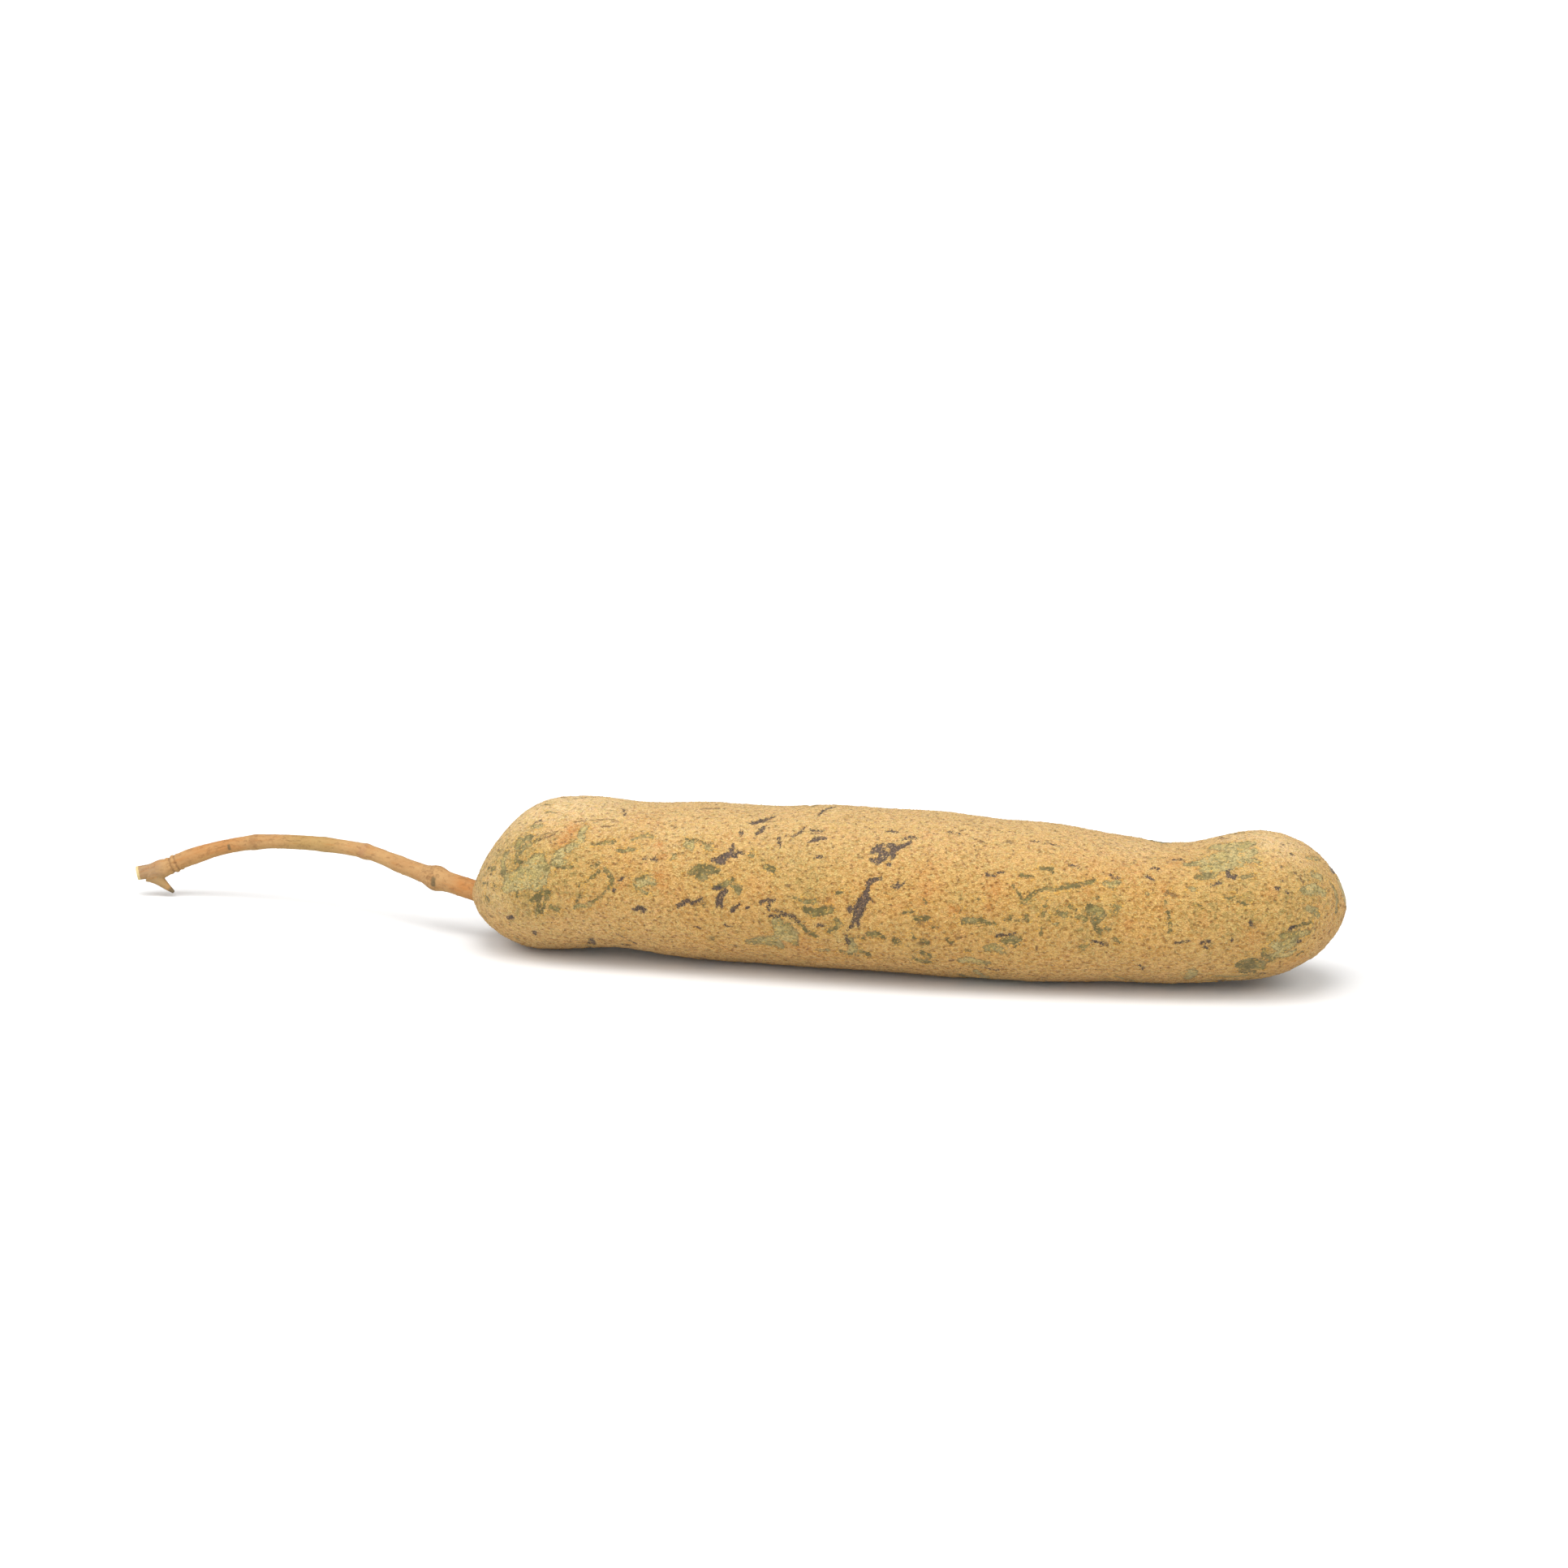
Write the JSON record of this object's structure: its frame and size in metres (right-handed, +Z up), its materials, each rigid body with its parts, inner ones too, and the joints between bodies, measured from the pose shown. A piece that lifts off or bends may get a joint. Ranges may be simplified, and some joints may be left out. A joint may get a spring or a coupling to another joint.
{
  "type": "tamarind pod",
  "caption": "Whole tamarind pod lying on its side, a long rounded sausage-like fruit with a slim arched woody stalk that ends in a cut stub and a short spur.",
  "frame": {"origin": "on the resting plane, below the middle of the pod and stalk together", "axes": "+X along the pod from the stalk towards the far end, +Z up, the stalk arching at -X"},
  "size_m": [0.1886, 0.0309, 0.0239],
  "materials": {
    "rind": "dry granular scurfy rind, tan with olive green bare patches and dark purple-brown scars",
    "bark": "dry fine-ringed bark, warm tan, pale cream where it is cut"
  },
  "bodies": {
    "root": {"pod": "rind", "stalk": "bark"}
  },
  "joints": []
}
